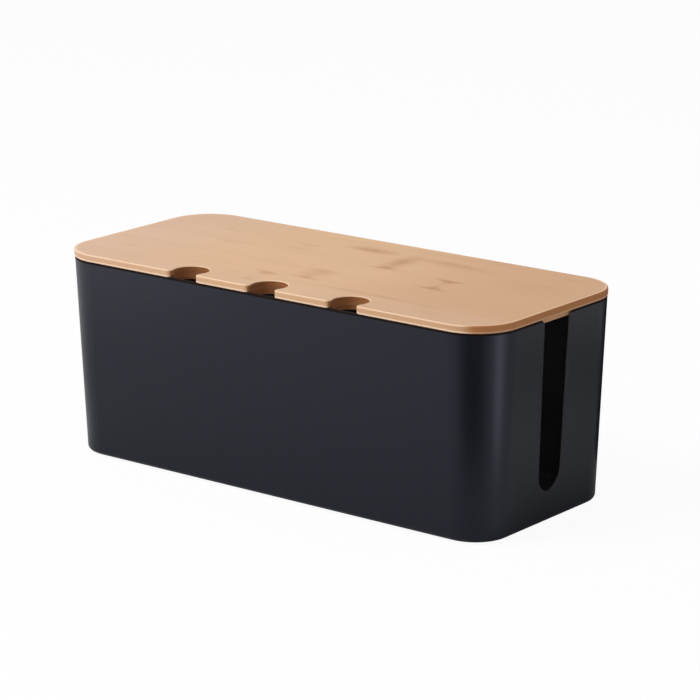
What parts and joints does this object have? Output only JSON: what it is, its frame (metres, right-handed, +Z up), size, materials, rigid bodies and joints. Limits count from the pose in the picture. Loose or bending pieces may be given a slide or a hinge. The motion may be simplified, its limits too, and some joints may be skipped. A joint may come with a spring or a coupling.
{
  "type": "cable management box",
  "caption": "Long rounded box that hides a power strip: open-topped moulded shell with a lead slot in each end, under a lift-off bamboo lid with cable notches in its front edge.",
  "frame": {"origin": "under the middle of the box, on the surface that its pads stand on", "axes": "+X along the box, -Y towards the front edge with the notches, +Z up"},
  "size_m": [0.32, 0.136, 0.127],
  "materials": {
    "shell_plastic": "satin moulded plastic, near black",
    "lid_bamboo": "satin lacquered bamboo, strips along X",
    "pad_silicone": "matt"
  },
  "bodies": {
    "box": {"box_shell": "shell_plastic", "foot_pad_front_left": "pad_silicone", "foot_pad_front_right": "pad_silicone", "foot_pad_back_left": "pad_silicone", "foot_pad_back_right": "pad_silicone"},
    "lid": {"lid": "lid_bamboo"}
  },
  "joints": [
    {"name": "lid_lift", "type": "slide", "parent": "box", "child": "lid", "axis": [0, 0, 1], "range_m": [0, 0.15]}
  ]
}
